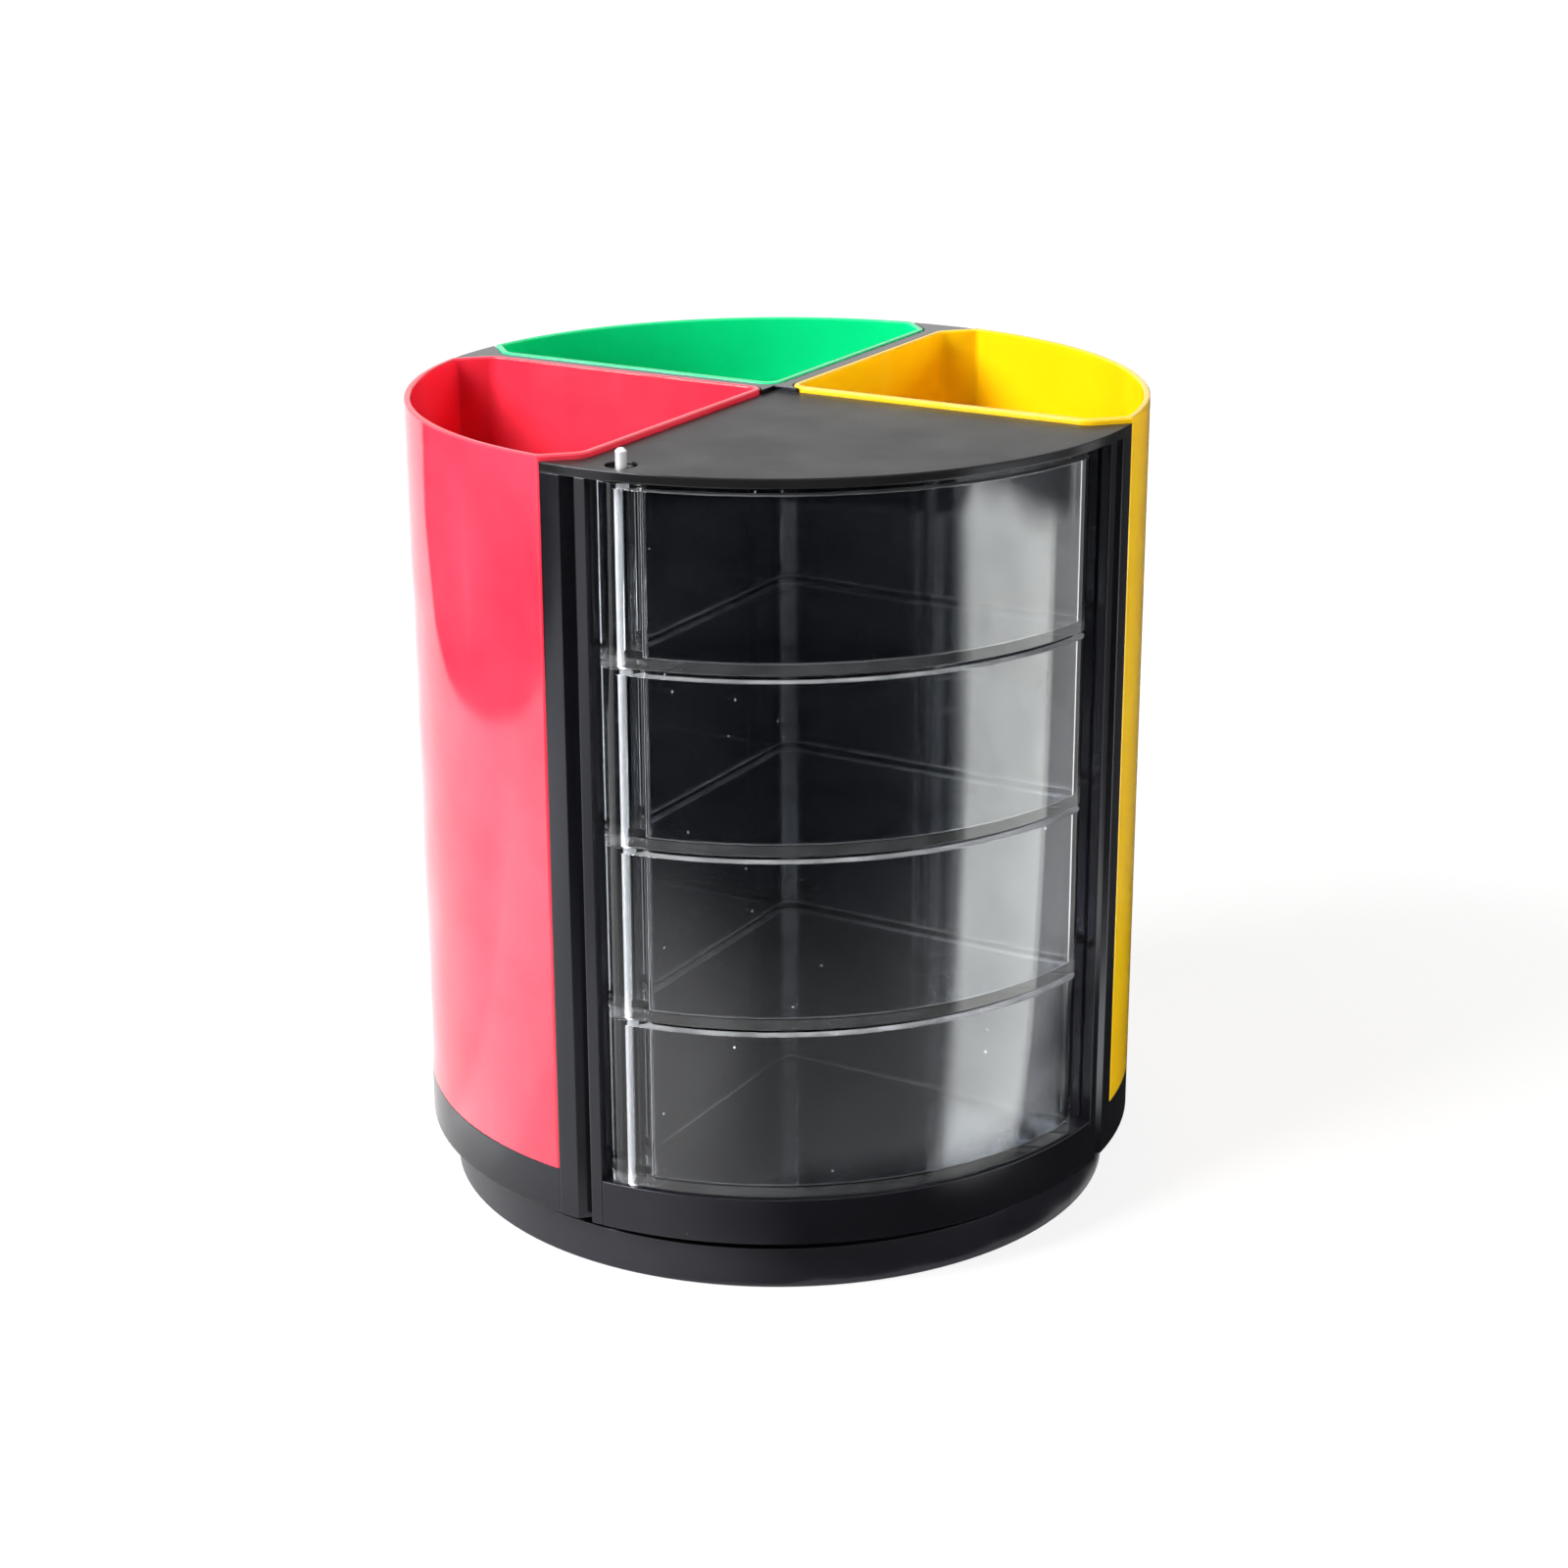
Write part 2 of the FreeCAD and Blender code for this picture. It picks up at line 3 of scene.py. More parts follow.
import bpy
from mathutils import Matrix, Vector

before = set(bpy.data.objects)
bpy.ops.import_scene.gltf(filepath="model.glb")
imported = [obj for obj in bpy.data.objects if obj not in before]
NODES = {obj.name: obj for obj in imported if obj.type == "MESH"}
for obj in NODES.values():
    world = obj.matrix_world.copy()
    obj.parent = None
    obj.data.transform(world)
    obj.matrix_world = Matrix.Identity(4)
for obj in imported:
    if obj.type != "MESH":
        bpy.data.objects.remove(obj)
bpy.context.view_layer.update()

scene = bpy.context.scene

WHITE = (1.0, 1.0, 1.0, 1.0)
EVEN = (1.0, 1.0, 1.0)              # object coordinates (metres) as they are
NARROW = (0.35, 0.65)               # where most values of a noise lie, tight and wide
WIDE = (0.3, 0.7)
NOISE_MIDDLE = 0.5


def grey(level, blue=None):
    return (level, level, level if blue is None else blue, 1.0)


def opaque(red, green, blue):
    return (red, green, blue, 1.0)


# ------------------------------------------------------------------ node helpers


class Graph:
    """A material or world node tree with short calls for the nodes used below."""

    NOISE_ROUGH = 0.55
    BEVEL_SAMPLES = 6
    EDGE_TURN = (0.995, 0.9)        # cosine between rounded and flat normal, off and on
    SPECK_CORE = 0.4                # share of a speck's radius that is full
    PATCH_SCALE = 0.35              # scratches come in patches this much larger
    PATCH_RANGE = (0.56, 0.7)

    def __init__(self, tree):
        self.tree = tree
        self.tree.nodes.clear()

    def node(self, kind, inputs=None, **fields):
        made = self.tree.nodes.new(kind)
        for name, value in fields.items():
            setattr(made, name, value)
        for key, value in (inputs or {}).items():
            self.put(made.inputs[key], value)
        return made

    def put(self, socket, value):
        if isinstance(value, bpy.types.NodeSocket):
            self.tree.links.new(value, socket)
        else:
            socket.default_value = value

    def math(self, operation, a, b=0.0, c=0.0, clamp=False):
        made = self.node("ShaderNodeMath", {0: a, 1: b, 2: c}, operation=operation)
        made.use_clamp = clamp
        return made.outputs[0]

    def times(self, a, b):
        return self.math("MULTIPLY", a, b)

    def span(self, value, low, high, to_low=0.0, to_high=1.0):
        """Linear map of low..high to to_low..to_high, held at both ends."""
        made = self.node("ShaderNodeMapRange", {"Value": value, "From Min": low,
                         "From Max": high, "To Min": to_low, "To Max": to_high})
        return made.outputs[0]

    def place(self, scale=EVEN):
        """Object coordinates (metres in the part's frame), stretched by scale."""
        coords = self.node("ShaderNodeTexCoord").outputs["Object"]
        return self.node("ShaderNodeMapping", {"Vector": coords, "Scale": scale}).outputs[0]

    def noise(self, vector, scale, detail=3.0):
        made = self.node("ShaderNodeTexNoise", {"Vector": vector, "Scale": scale,
                         "Detail": detail, "Roughness": self.NOISE_ROUGH})
        return made.outputs["Fac"]

    def mix(self, factor, a, b):
        made = self.node("ShaderNodeMix", data_type="RGBA")
        self.put(made.inputs[0], factor)
        self.put(made.inputs[6], a)
        self.put(made.inputs[7], b)
        return made.outputs[2]

    def specks(self, vector, scale, size, share):
        """Sparse round specks: 1 inside a speck, 0 elsewhere."""
        cell = self.node("ShaderNodeTexVoronoi", {"Vector": vector, "Scale": scale})
        near = self.span(cell.outputs["Distance"], size, size * self.SPECK_CORE)
        pick = self.node("ShaderNodeSeparateColor", {"Color": cell.outputs["Color"]})
        kept = self.math("LESS_THAN", pick.outputs[0], share)
        return self.math("MULTIPLY", near, kept, clamp=True)

    def scratches(self, vector, scale, width):
        """Thin long marks: the narrow band where a stretched noise crosses its middle."""
        wave = self.noise(vector, scale, detail=1.0)
        off = self.math("ABSOLUTE", self.math("SUBTRACT", wave, NOISE_MIDDLE))
        line = self.span(off, width, 0.0)
        patch = self.noise(vector, scale * self.PATCH_SCALE, detail=1.0)
        return self.math("MULTIPLY", line, self.span(patch, *self.PATCH_RANGE), clamp=True)

    def bump(self, height, strength, distance, normal=None):
        made = self.node("ShaderNodeBump", {"Height": height, "Strength": strength,
                         "Distance": distance})
        if normal is not None:
            self.put(made.inputs["Normal"], normal)
        return made.outputs[0]

    def soft_edges(self, radius):
        return self.node("ShaderNodeBevel", {"Radius": radius},
                         samples=self.BEVEL_SAMPLES).outputs[0]

    def edge_mask(self, radius):
        """1 along sharp edges, 0 on flat faces."""
        rounded = self.soft_edges(radius)
        flat = self.node("ShaderNodeNewGeometry").outputs["Normal"]
        dot = self.node("ShaderNodeVectorMath", {0: rounded, 1: flat}, operation="DOT_PRODUCT")
        return self.span(dot.outputs["Value"], *self.EDGE_TURN)

    def facing_up(self):
        """Upward part of the face's normal: 1 on top faces, 0 on walls."""
        normal = self.node("ShaderNodeNewGeometry").outputs["Normal"]
        return self.node("ShaderNodeSeparateXYZ", {0: normal}).outputs[2]


def material(name):
    made = bpy.data.materials.new(name)
    made.use_nodes = True
    graph = Graph(made.node_tree)
    out = graph.node("ShaderNodeOutputMaterial")
    shader = graph.node("ShaderNodeBsdfPrincipled")
    graph.tree.links.new(shader.outputs[0], out.inputs["Surface"])
    return made, graph, shader, out


def dress(made, *names):
    for name in names:
        data = NODES[name].data
        data.materials.clear()
        data.materials.append(made)


# ------------------------------------------------------------------ materials
# Noise, speck and scratch scales are per metre; bump distances and radii are in metres.

CUP_ROUGH = (0.05, 0.085)
CUP_INDEX = 1.5
CUP_LIGHT_INSIDE = 0.3              # share of light that enters the plastic
CUP_EDGE = 0.0003                   # visible rounding of the edges
# strength of the painted highlight along the cup edges
CUP_PAINTED_EDGE_HIGHLIGHT = 0.05
CUP_FLOW_STRETCH = (1.0, 1.0, 0.12)
CUP_FLOW_SPAN = (0.62, 0.75)
CUP_FLOW_LIGHT = 0.12
CUP_DUST = 0.3
CUP_MARK_STRETCH = (1.0, 1.0, 0.25)
DUST_PALE = opaque(0.9, 0.88, 0.86)


def glossy_cup(name, colour, deep, light, depth):
    """Glossy moulded plastic letting some light through: colour drift, flow marks, dust,
    painted edge highlight.

    deep, light: darkest and palest tone; depth: how far each colour of light runs inside.
    """
    made, g, s, _ = material(name)
    here = g.place()
    drift = g.noise(here, scale=34.0)
    flow = g.noise(g.place(CUP_FLOW_STRETCH), scale=120.0, detail=2.0)
    tone = g.mix(g.span(drift, *NARROW), colour, deep)
    tone = g.mix(g.span(flow, *CUP_FLOW_SPAN, 0.0, CUP_FLOW_LIGHT), tone, light)
    # painted highlight: the colour turns towards the light tone along the edges
    tone = g.mix(g.times(g.edge_mask(CUP_EDGE), CUP_PAINTED_EDGE_HIGHLIGHT), tone, light)
    dust = g.times(g.specks(here, scale=240.0, size=0.08, share=0.03), CUP_DUST)
    tone = g.mix(dust, tone, DUST_PALE)
    g.put(s.inputs["Base Color"], tone)
    rough = g.span(g.noise(here, scale=90.0, detail=4.0), *WIDE, *CUP_ROUGH)
    g.put(s.inputs["Roughness"], g.math("ADD", rough, dust))
    s.inputs["IOR"].default_value = CUP_INDEX
    s.inputs["Subsurface Weight"].default_value = CUP_LIGHT_INSIDE
    s.inputs["Subsurface Radius"].default_value = depth
    s.inputs["Subsurface Scale"].default_value = 1.0
    waves = g.noise(here, scale=40.0, detail=1.0)
    grain = g.noise(here, scale=1900.0, detail=2.0)
    marks = g.scratches(g.place(CUP_MARK_STRETCH), scale=90.0, width=0.003)
    normal = g.bump(waves, strength=0.1, distance=0.0006, normal=g.soft_edges(CUP_EDGE))
    normal = g.bump(grain, strength=0.05, distance=0.00004, normal=normal)
    normal = g.bump(marks, strength=0.12, distance=0.00004, normal=normal)
    g.put(s.inputs["Normal"], normal)
    return made


BLACK_LIFT = 1.35                   # palest against darkest tone of the colour drift
BLACK_TINT = opaque(0.9, 0.91, 1.0)
WORN = grey(0.03)
WORN_EDGE = 0.0002
WORN_PATCHES = (0.4, 0.7, 0.1, 0.7)  # span of the noise, least and most wear
BLACK_DUST = 0.35
DUST_GREY = opaque(0.4, 0.39, 0.37)
UPRIGHT = (0.2, 0.6)                # upward part of the normal, from wall to flat
BLACK_MARK_STRETCH = (1.0, 1.0, 0.2)


def black_moulding(name, base, rough, grain, grain_strength, rounding=0.0003, index=1.45,
                   polish=0.0):
    """Black moulded plastic: fine grain, paler worn edges, dust and hairline marks.

    rough: range on the flat faces; polish: taken off it on upright faces.
    """
    made, g, s, _ = material(name)
    here = g.place()
    drift = g.noise(here, scale=48.0)
    lighter = tuple(part * BLACK_LIFT for part in base[:3]) + (1.0,)
    tone = g.mix(g.span(drift, *NARROW), base, lighter)
    patch = g.span(g.noise(here, scale=400.0), *WORN_PATCHES)
    tone = g.mix(g.times(g.edge_mask(WORN_EDGE), patch), tone, WORN)
    dust = g.specks(here, scale=330.0, size=0.09, share=0.06)
    tone = g.mix(g.times(dust, BLACK_DUST), tone, DUST_GREY)
    g.put(s.inputs["Base Color"], tone)
    upright = g.span(g.math("ABSOLUTE", g.facing_up()), *UPRIGHT, polish, 0.0)
    skin = g.span(g.noise(here, scale=60.0, detail=4.0), *WIDE, *rough)
    g.put(s.inputs["Roughness"], g.math("SUBTRACT", skin, upright))
    s.inputs["IOR"].default_value = index
    s.inputs["Specular Tint"].default_value = BLACK_TINT
    normal = g.bump(g.noise(here, grain), grain_strength, distance=0.00005,
                    normal=g.soft_edges(rounding))
    marks = g.scratches(g.place(BLACK_MARK_STRETCH), scale=120.0, width=0.003)
    normal = g.bump(marks, strength=0.12, distance=0.00003, normal=normal)
    g.put(s.inputs["Normal"], normal)
    return made


TRAY_FIRST = 0.0202                 # underside of the lowest tray
TRAY_PITCH = 0.0318375
TRAY_RIM = (0.959, 0.012)           # height of the rim face in shares of the pitch, tolerance
TRAY_SILL = 0.06                    # height of the floor's outer edge in shares of the pitch
# strength of the painted highlight on the rim tops and on the floors' outer edges
RIM_PAINTED_HIGHLIGHT = 0.26
SILL_PAINTED_HIGHLIGHT = 0.045
FACE_UP = 0.9
FACE_SIDE = 0.3
TRAY_EDGE = 0.0003
# strength of the painted highlight along the tray edges
TRAY_EDGE_PAINTED_HIGHLIGHT = 0.045
UNEVEN = (0.7, 1.3)
CLEAR = opaque(0.93, 0.955, 0.985)
# pale colour of dust specks and of the painted highlights
DUST_AND_HIGHLIGHT_PALE = opaque(0.85, 0.86, 0.88)
CLEAR_ROUGH = (0.35, 0.7, 0.02, 0.045)  # span of the noise, least and most roughness
PALE_ROUGH = 0.4
PALE_STOPS = 0.9                   # share of transmission lost by a dust speck or a painted highlight
CLEAR_INDEX = 1.5
LAMP_PASSES = 0.85                  # share of lamp light that a clear wall lets through
TRAY_WAVE_STRETCH = (1.0, 1.0, 0.4)
TRAY_MARK_STRETCH = (1.0, 1.0, 3.0)


def clear_moulding(name):
    """Clear crystal plastic with dust; painted highlights on edges, rim tops and floor edges of
    the stacked trays.
    """
    made, g, s, _ = material(name)
    here = g.place()
    height = g.node("ShaderNodeSeparateXYZ", {0: here}).outputs[2]
    risen = g.math("SUBTRACT", height, TRAY_FIRST)
    share = g.math("FRACT", g.math("DIVIDE", risen, TRAY_PITCH))
    facing = g.facing_up()
    # painted highlight: rim top faces and the floors' outer edges are turned pale, as if lit
    rim = g.times(g.math("COMPARE", share, *TRAY_RIM), g.math("GREATER_THAN", facing, FACE_UP))
    sill = g.times(g.math("LESS_THAN", share, TRAY_SILL),
                   g.math("LESS_THAN", g.math("ABSOLUTE", facing), FACE_SIDE))
    lit = g.math("ADD", g.times(rim, RIM_PAINTED_HIGHLIGHT), g.times(sill, SILL_PAINTED_HIGHLIGHT))
    lit = g.times(lit, g.span(g.noise(here, scale=160.0, detail=2.0), *NARROW, *UNEVEN))
    dust = g.specks(here, scale=190.0, size=0.06, share=0.06)
    # painted highlight along every edge of the trays
    edge = g.times(g.edge_mask(TRAY_EDGE), TRAY_EDGE_PAINTED_HIGHLIGHT)
    # pale where dust lies and where highlights are painted
    dust_and_highlight = g.math("MAXIMUM", g.math("MAXIMUM", dust, edge), lit)
    g.put(s.inputs["Base Color"], g.mix(dust_and_highlight, CLEAR, DUST_AND_HIGHLIGHT_PALE))
    haze = g.span(g.noise(here, scale=60.0), *CLEAR_ROUGH)
    g.put(s.inputs["Roughness"], g.math("ADD", haze, g.times(dust_and_highlight, PALE_ROUGH)))
    g.put(s.inputs["Transmission Weight"],
          g.math("SUBTRACT", 1.0, g.times(dust_and_highlight, PALE_STOPS)))
    s.inputs["IOR"].default_value = CLEAR_INDEX
    # lamps reach what stands inside: shadow rays pass most of the clear wall
    shadow = g.node("ShaderNodeLightPath").outputs["Is Shadow Ray"]
    g.put(s.inputs["Alpha"], g.math("SUBTRACT", 1.0, g.times(shadow, LAMP_PASSES)))
    waves = g.noise(g.place(TRAY_WAVE_STRETCH), scale=30.0, detail=1.0)
    marks = g.scratches(g.place(TRAY_MARK_STRETCH), scale=50.0, width=0.002)
    normal = g.bump(waves, strength=0.01, distance=0.0004, normal=g.soft_edges(0.0002))
    normal = g.bump(marks, strength=0.2, distance=0.00004, normal=normal)
    g.put(s.inputs["Normal"], normal)
    return made


DRAWN_STRETCH = (9.0, 9.0, 0.06)
STEEL_ROUGH = (0.5, 0.58)


def drawn_steel(name):
    """Drawn wire: fine lines along the rod and small bright and dull patches."""
    made, g, s, _ = material(name)
    lines = g.noise(g.place(DRAWN_STRETCH), scale=420.0)
    here = g.place()
    g.put(s.inputs["Base Color"],
          g.mix(g.span(lines, *WIDE), grey(0.86, 0.87), grey(0.97)))
    g.put(s.inputs["Roughness"], g.span(g.noise(here, scale=300.0), *WIDE, *STEEL_ROUGH))
    s.inputs["Metallic"].default_value = 1.0
    g.put(s.inputs["Normal"], g.bump(lines, strength=0.1, distance=0.00003))
    return made


RUBBER_ROUGH = (0.7, 0.9)
GLIDE_ROUGH = (0.35, 0.5)


def rubber(name):
    """Dull black rubber with a coarse skin."""
    made, g, s, _ = material(name)
    here = g.place()
    g.put(s.inputs["Base Color"], g.mix(g.span(g.noise(here, scale=90.0), *NARROW),
          grey(0.02), opaque(0.045, 0.043, 0.04)))
    g.put(s.inputs["Roughness"], g.span(g.noise(here, scale=500.0), *WIDE, *RUBBER_ROUGH))
    skin = g.noise(here, scale=1500.0)
    g.put(s.inputs["Normal"], g.bump(skin, strength=0.4, distance=0.0001))
    return made


def natural_acetal(name):
    """Undyed, slightly waxy plastic of the glide ring."""
    made, g, s, _ = material(name)
    here = g.place()
    g.put(s.inputs["Base Color"], g.mix(g.span(g.noise(here, scale=120.0), *NARROW),
          opaque(0.8, 0.78, 0.72), opaque(0.87, 0.86, 0.82)))
    g.put(s.inputs["Roughness"], g.span(g.noise(here, scale=700.0), *WIDE, *GLIDE_ROUGH))
    g.put(s.inputs["Normal"], g.bump(g.noise(here, scale=900.0), strength=0.2, distance=0.00005,
                                     normal=g.soft_edges(0.0003)))
    return made


dress(glossy_cup("red_gloss", depth=(0.004, 0.001, 0.001), colour=opaque(0.93, 0.05, 0.09),
                 deep=opaque(0.88, 0.028, 0.06), light=opaque(0.98, 0.12, 0.17)), "cup_red")
dress(glossy_cup("green_gloss", depth=(0.001, 0.003, 0.0015), colour=opaque(0.003, 0.68, 0.26),
                 deep=opaque(0.002, 0.62, 0.22), light=opaque(0.05, 0.82, 0.42)), "cup_green")
dress(glossy_cup("yellow_gloss", depth=(0.004, 0.003, 0.0005), colour=opaque(1.0, 0.585, 0.004),
                 deep=opaque(0.97, 0.54, 0.003), light=opaque(1.0, 0.72, 0.06)), "cup_yellow")
dress(black_moulding("frame_black_gloss", base=grey(0.0045, 0.006), rough=(0.14, 0.2),
                     grain=1400.0, grain_strength=0.02), "divider_frame", "base_tray")
dress(black_moulding("plate_black_satin", base=grey(0.008), rough=(0.32, 0.4), grain=2600.0,
                     grain_strength=0.2, rounding=0.0005, index=1.36, polish=0.2), "top_plate")
dress(black_moulding("foot_black_satin", base=grey(0.009, 0.012), rough=(0.28, 0.36),
                     grain=1700.0, grain_strength=0.1), "foot_disc")
dress(clear_moulding("drawer_clear_gloss"), "drawer_1", "drawer_2", "drawer_3", "drawer_4")
dress(drawn_steel("steel_drawn"), "pivot_rod", "spindle_screw", "spindle_washer")
dress(rubber("pad_rubber_soft"), "foot_pad_1", "foot_pad_2", "foot_pad_3", "foot_pad_4")
dress(natural_acetal("glide_natural"), "glide_ring")

# ------------------------------------------------------------------ stage

FLOOR_REACH = 6.0
FLOOR_CORNERS = [(-1, -1), (1, -1), (1, 1), (-1, 1)]
FLOOR_MATT = (grey(0.78), grey(0.8))
FLOOR_GLOW = (0.12, 0.5, 0.86, 1.0)  # from radius, to radius, glow at the part, glow beyond
FLOOR_SHADED = grey(0.2)            # added when seen directly, so that shadows show
FLOOR_INSIDE = 0.45                 # share of the glow left for what stands behind plastic
MIRRORED_ONCE = 0.5                 # limit of the glossy depth, just under one bounce
THIRD_PASS = 2.5                    # limit of the passes through clear faces, just under three
WORLD_LIGHT = 0.12
WORLD_SEEN = 1.0


def seen_directly(g):
    """1 for camera, glossy and transmission rays, 0 for the light that they gather."""
    path = g.node("ShaderNodeLightPath")
    both = g.math("MAXIMUM", path.outputs["Is Camera Ray"], path.outputs["Is Glossy Ray"])
    return g.math("MAXIMUM", both, path.outputs["Is Transmission Ray"])


def mirrored(g):
    """1 for light that a surface has mirrored at least once, 0 for the rest."""
    depth = g.node("ShaderNodeLightPath").outputs["Glossy Depth"]
    return g.math("GREATER_THAN", depth, MIRRORED_ONCE)


def dim_inside(g, share):
    """share for light mirrored behind a clear wall that came out again, 1 for the rest."""
    depth = g.node("ShaderNodeLightPath").outputs["Transmission Depth"]
    inside = g.times(mirrored(g), g.math("GREATER_THAN", depth, THIRD_PASS))
    return g.span(inside, 0.0, 1.0, 1.0, share)


def add_mesh(name, corners, faces):
    mesh = bpy.data.meshes.new(name)
    mesh.from_pydata(corners, [], faces)
    made = bpy.data.objects.new(name, mesh)
    scene.collection.objects.link(made)
    return made


def make_floor():
    corners = [(FLOOR_REACH * x, FLOOR_REACH * y, 0.0) for x, y in FLOOR_CORNERS]
    floor = add_mesh("floor", corners, [(0, 1, 2, 3)])
    made, g, _, out = material("floor_white")
    here = g.place()
    white = g.mix(g.span(g.noise(here, scale=300.0), *WIDE), *FLOOR_MATT)
    matt = g.node("ShaderNodeBsdfDiffuse", {"Color": white}).outputs[0]
    away = g.node("ShaderNodeVectorMath", {0: here}, operation="LENGTH").outputs["Value"]
    level = g.times(g.span(away, *FLOOR_GLOW), dim_inside(g, FLOOR_INSIDE))
    glow = g.node("ShaderNodeEmission", {"Color": WHITE, "Strength": level}).outputs[0]
    shaded = g.node("ShaderNodeBsdfDiffuse", {"Color": FLOOR_SHADED}).outputs[0]
    bright = g.node("ShaderNodeAddShader", {0: glow, 1: shaded}).outputs[0]
    blend = g.node("ShaderNodeMixShader", {0: seen_directly(g), 1: matt, 2: bright}).outputs[0]
    g.put(out.inputs["Surface"], blend)
    floor.data.materials.append(made)


def make_world():
    world = bpy.data.worlds.new("studio")
    scene.world = world
    world.use_nodes = True
    g = Graph(world.node_tree)
    strength = g.span(seen_directly(g), 0.0, 1.0, WORLD_LIGHT, WORLD_SEEN)
    back = g.node("ShaderNodeBackground", {"Color": WHITE, "Strength": strength})
    g.node("ShaderNodeOutputWorld", {"Surface": back.outputs[0]})


# ------------------------------------------------------------------ cards for reflections
# Azimuths are in degrees from -Y towards +X, lengths in metres from the turning axis.

CARD_TINT = opaque(0.97, 0.99, 1.0)
DARK_TINT = opaque(0.85, 0.95, 1.25)
RIGHT_TINT = opaque(0.98, 1.0, 0.97)
CARD_DRIFT = (0.9, 1.1)             # least and most of a card's strength over its face
DARK = 0.02
FAR = 2.4
FLOOR_END = 5.0


def compass(azimuth, radius, height):
    turn = math.radians(azimuth)
    return Vector((math.sin(turn) * radius, -math.cos(turn) * radius, height))


def reflection_card(name, rows, strength, tint=CARD_TINT, inside=1.0):
    """A card that only shows in glossy surfaces.

    rows: four lines of points; the card is full between the middle two and fades
    to nothing at the outer two and at the first and last point of each line.
    inside: share of its strength that is left for what stands behind clear plastic.
    """
    count = len(rows[0])
    faces = [(r * count + k, r * count + k + 1, (r + 1) * count + k + 1, (r + 1) * count + k)
             for r in range(len(rows) - 1) for k in range(count - 1)]
    card = add_mesh(name, [spot for row in rows for spot in row], faces)
    outer = [0.0] * count
    inner = [0.0] + [1.0] * (count - 2) + [0.0]
    full = card.data.attributes.new("full", "FLOAT", "POINT")
    full.data.foreach_set("value", outer + inner + inner + outer)
    made, g, _, out = material(name)
    low, high = CARD_DRIFT
    drift = g.noise(g.place(), scale=14.0, detail=2.0)
    level = g.span(drift, *WIDE, strength * low, strength * high)
    level = g.times(level, dim_inside(g, inside))
    glow = g.node("ShaderNodeEmission", {"Color": tint, "Strength": level}).outputs[0]
    clear = g.node("ShaderNodeBsdfTransparent").outputs[0]
    share = g.node("ShaderNodeAttribute", attribute_name="full").outputs["Fac"]
    share = g.node("ShaderNodeMapRange", {"Value": share}, interpolation_type="SMOOTHSTEP")
    share = g.times(share.outputs[0], mirrored(g))
    blend = g.node("ShaderNodeMixShader", {0: share, 1: clear, 2: glow}).outputs[0]
    g.put(out.inputs["Surface"], blend)
    card.data.materials.append(made)
    card.visible_camera = False
    card.visible_diffuse = False
    card.visible_shadow = False


def floor_card(name, near, far, soft, height, strength, tint=CARD_TINT, inside=1.0):
    """Card just over the floor, from a near outline of (azimuth, radius) to a far radius.

    soft: width of the fading strip at the near outline and at the far radius.
    """
    near_soft, far_soft = soft
    rows = [[compass(azimuth, radius, height) for azimuth, radius in near],
            [compass(azimuth, radius + near_soft, height) for azimuth, radius in near],
            [compass(azimuth, far - far_soft, height) for azimuth, _ in near],
            [compass(azimuth, far, height) for azimuth, _ in near]]
    reflection_card(name, rows, strength, tint, inside)


def wall_card(name, azimuths, heights, strength):
    rows = [[compass(azimuth, FAR, height) for azimuth in azimuths] for height in heights]
    reflection_card(name, rows, strength)


def arc(start, end, radius, soft, steps=8):
    """Azimuths from start to end at one radius, with short fading steps at the two ends."""
    inner = [start + soft + (end - start - 2.0 * soft) * k / steps for k in range(steps + 1)]
    return [(azimuth, radius) for azimuth in [start] + inner + [end]]


LEFT_EDGE = [(-104.0, 0.60), (-102.0, 0.52), (-95.0, 0.41), (-85.0, 0.365), (-72.0, 0.35),
             (-59.0, 0.35), (-49.0, 0.365), (-41.0, 0.41), (-37.0, 0.48), (-34.0, 0.60)]
FRONT_EDGE = [(-32.0, 0.17), (-14.0, 0.16), (5.0, 0.14), (35.0, 0.12), (60.0, 0.13),
              (80.0, 0.15), (90.0, 0.17)]
RIGHT_EDGE = [(80.0, 0.66), (84.0, 0.66), (94.0, 0.64), (106.0, 0.61), (118.0, 0.58),
              (126.0, 0.56), (130.0, 0.56)]
# the bright card on the right: four rows of (x, y) from its near to its far edge
RIGHT_CARD = [
    [(0.085, -0.050), (0.085, -0.036), (0.090, -0.022), (0.096, -0.010), (0.100, 0.000)],
    [(0.118, -0.050), (0.118, -0.034), (0.121, -0.014), (0.122, 0.004), (0.128, 0.014)],
    [(0.600, -0.080), (0.612, -0.012), (0.585, 0.105), (0.480, 0.258), (0.472, 0.272)],
    [(0.700, -0.090), (0.680, -0.012), (0.645, 0.125), (0.527, 0.292), (0.510, 0.300)],
]
RIGHT_CARD_HEIGHT = 0.0022


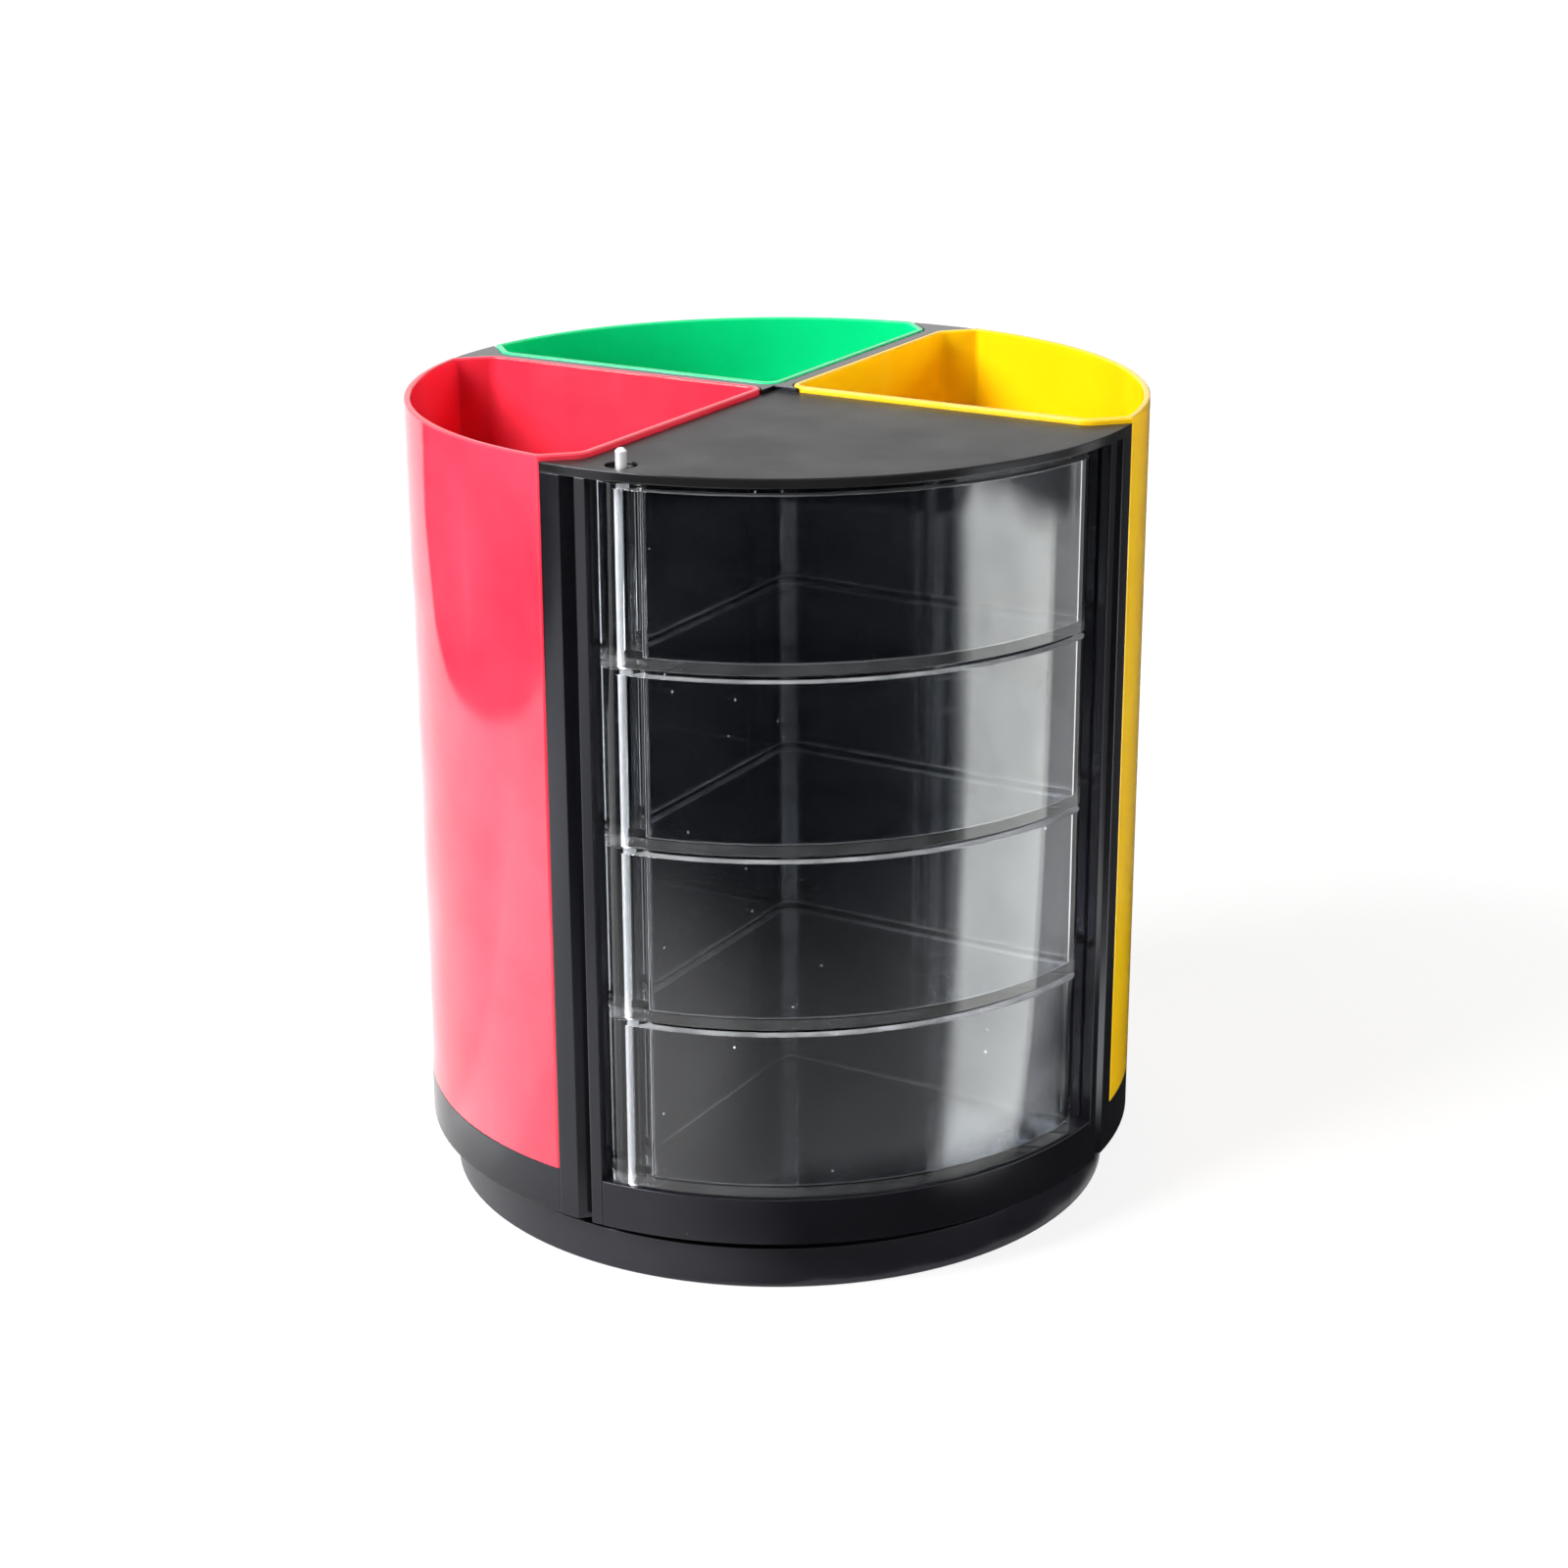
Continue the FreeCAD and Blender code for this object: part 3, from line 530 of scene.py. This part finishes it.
def make_cards():
    """Dark cards in front, bright cards left and right, shade behind and by the foot."""
    floor_card("card_left", arc(-150.0, -5.0, radius=0.08, soft=12.0), far=0.46,
               soft=(0.02, 0.04), height=0.0004, strength=1.5, inside=0.3)
    floor_card("card_front_left", arc(-62.0, -30.0, radius=0.08, soft=9.0), far=0.46,
               soft=(0.02, 0.04), height=0.0006, strength=2.1, inside=0.2)
    floor_card("card_near", arc(0.0, 85.0, radius=0.09, soft=28.0), far=0.42,
               soft=(0.03, 0.1), height=0.0008, strength=0.5, inside=0.5)
    floor_card("card_behind", arc(132.0, 220.0, radius=0.075, soft=8.0), FLOOR_END,
               soft=(0.02, 0.1), height=0.0006, strength=0.08)
    floor_card("card_dark_left", LEFT_EDGE, FAR, soft=(0.012, 0.2), height=0.0012,
               strength=DARK, tint=DARK_TINT)
    floor_card("card_dark_front", FRONT_EDGE, FAR, soft=(0.17, 0.2), height=0.0014,
               strength=DARK, tint=DARK_TINT)
    floor_card("card_foot", arc(2.0, 205.0, radius=0.064, soft=34.0), far=0.125,
               soft=(0.001, 0.02), height=0.0010, strength=DARK)
    floor_card("card_foot_right", arc(92.0, 205.0, radius=0.064, soft=22.0), far=0.2,
               soft=(0.001, 0.06), height=0.0011, strength=DARK)
    floor_card("card_dark_right", RIGHT_EDGE, FAR, soft=(0.04, 0.2), height=0.0016,
               strength=0.18)
    rows = [[Vector((x, y, RIGHT_CARD_HEIGHT)) for x, y in row] for row in RIGHT_CARD]
    reflection_card("card_right", rows, strength=4.4, tint=RIGHT_TINT, inside=0.08)
    wall_card("card_sky", azimuths=(188.0, 196.0, 210.0, 226.0, 236.0),
              heights=(0.9, 1.3, 3.0, 3.4), strength=0.25)
    wall_card("card_wall", azimuths=(140.0, 148.0, 170.0, 184.0, 192.0),
              heights=(-0.1, 0.0, 1.2, 1.6), strength=0.15)


def softbox(name, place, target, side, watts, glossy=True):
    data = bpy.data.lights.new(name, "AREA")
    data.shape = "SQUARE"
    data.size = side
    data.energy = watts
    lamp = bpy.data.objects.new(name, data)
    lamp.location = place
    lamp.rotation_mode = "QUATERNION"
    lamp.rotation_quaternion = (Vector(target) - Vector(place)).to_track_quat("-Z", "Y")
    lamp.visible_camera = False
    lamp.visible_glossy = glossy
    scene.collection.objects.link(lamp)


make_floor()
make_world()
make_cards()
softbox("key", place=(-0.47, -0.82, 0.80), target=(0.0, 0.0, 0.1), side=0.6, watts=29.0)
softbox("fill_right", place=(1.5, 0.45, 0.35), target=(0.0, 0.0, 0.08), side=0.5, watts=14.0,
        glossy=False)

# ------------------------------------------------------------------ camera

AZIMUTH = math.radians(29.95)       # from -Y towards +X
DISTANCE = 0.5612                   # horizontal, from the turning axis
HEIGHT = 0.2687
PITCH = math.radians(19.1695)
YAW = math.radians(0.1019)
ROLL = math.radians(-0.2038)
FOCAL_PIXELS = 3193.0
FRAME_PIXELS = 1600.0
SENSOR = 36.0                       # millimetres
CLIP = (0.01, 50.0)


def make_camera():
    across = Vector((math.cos(AZIMUTH - YAW), math.sin(AZIMUTH - YAW), 0.0))
    level = Vector((-math.sin(AZIMUTH - YAW), math.cos(AZIMUTH - YAW), 0.0))
    up_axis = Vector((0.0, 0.0, 1.0))
    ahead = level * math.cos(PITCH) - up_axis * math.sin(PITCH)
    up = level * math.sin(PITCH) + up_axis * math.cos(PITCH)
    right = across * math.cos(ROLL) + up * math.sin(ROLL)
    top = up * math.cos(ROLL) - across * math.sin(ROLL)
    data = bpy.data.cameras.new("camera")
    data.sensor_width = SENSOR
    data.lens = FOCAL_PIXELS / FRAME_PIXELS * SENSOR
    data.clip_start, data.clip_end = CLIP
    camera = bpy.data.objects.new("camera", data)
    spin = Matrix((right, top, -ahead)).transposed()
    camera.rotation_mode = "QUATERNION"
    camera.rotation_quaternion = spin.to_quaternion()
    camera.location = (math.sin(AZIMUTH) * DISTANCE, -math.cos(AZIMUTH) * DISTANCE, HEIGHT)
    scene.collection.objects.link(camera)
    scene.camera = camera


make_camera()
scene.view_settings.view_transform = "Standard"
